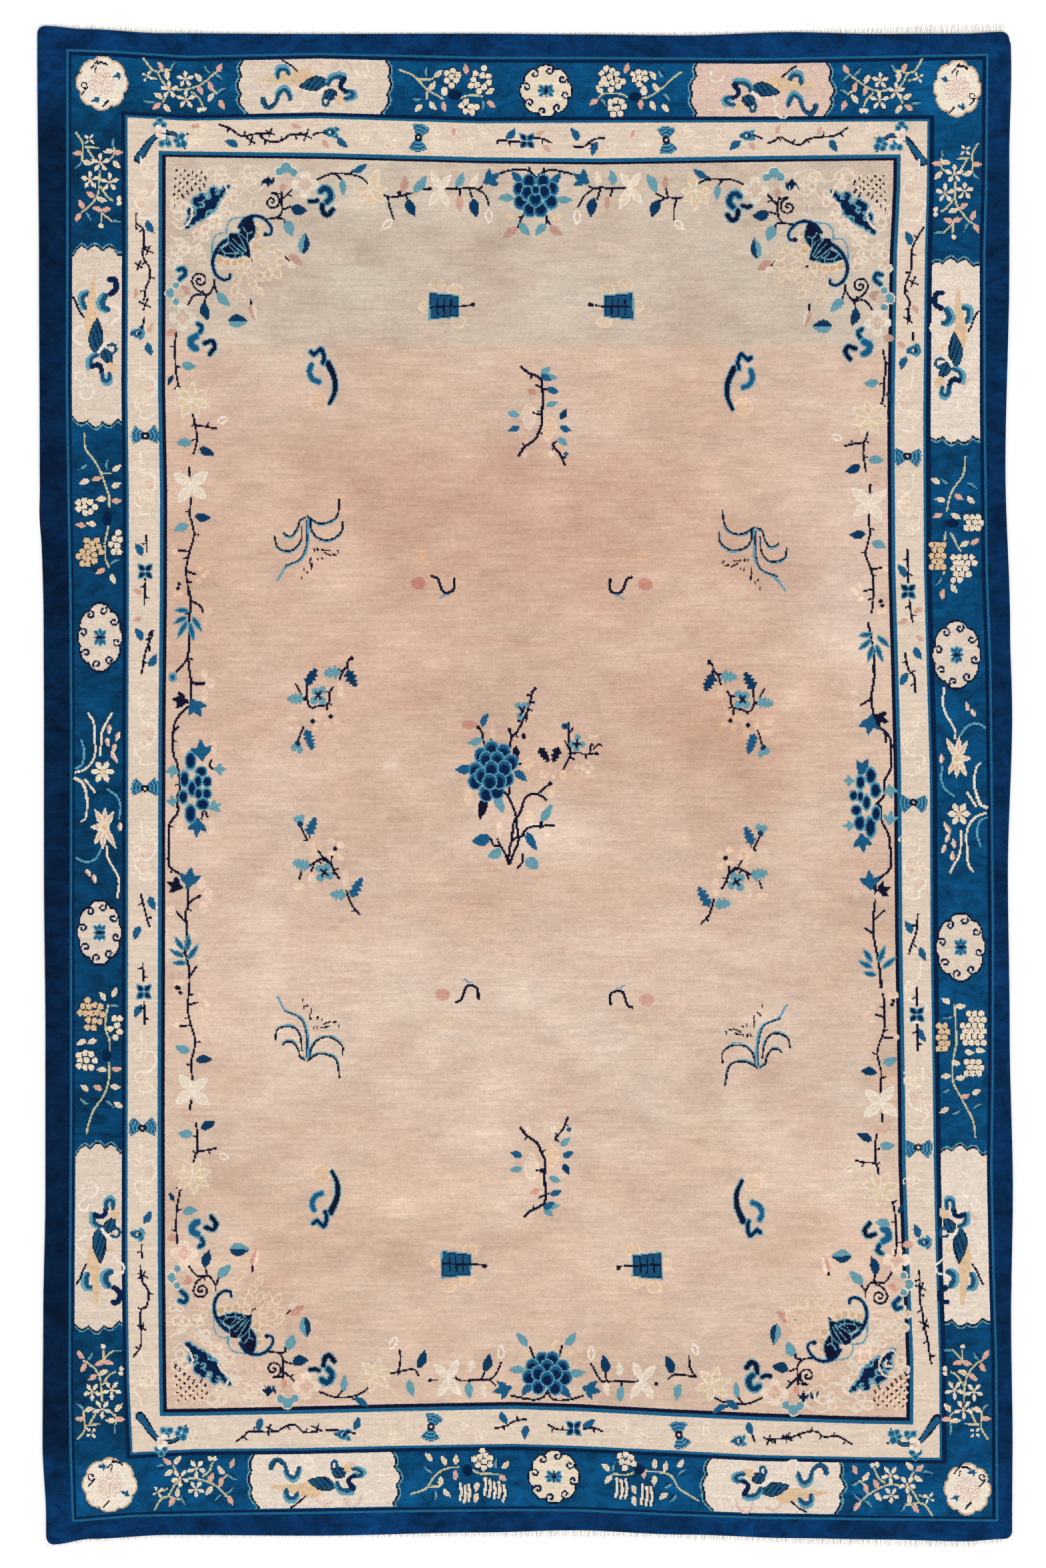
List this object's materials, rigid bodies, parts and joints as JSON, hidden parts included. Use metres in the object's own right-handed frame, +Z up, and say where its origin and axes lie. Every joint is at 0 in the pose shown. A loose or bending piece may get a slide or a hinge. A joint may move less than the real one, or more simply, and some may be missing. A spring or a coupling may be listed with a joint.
{
  "type": "chinese rug",
  "caption": "Large flat hand-knotted wool floor rug with thick rounded pile edges and a short cut warp fringe at both ends.",
  "frame": {"origin": "on the floor, under the middle of the rug", "axes": "+Y along the rug's length, towards the end at the top of the picture; +X across its width; +Z up out of the pile"},
  "size_m": [2.763, 4.3162, 0.0121],
  "materials": {
    "dyed_wool": "cut wool pile, soft sheen, camel ground with indigo borders",
    "cotton_warp": "undyed cotton yarn, matt"
  },
  "bodies": {
    "root": {"rug": "dyed_wool", "fringe_far": "cotton_warp", "fringe_near": "cotton_warp"}
  },
  "joints": []
}
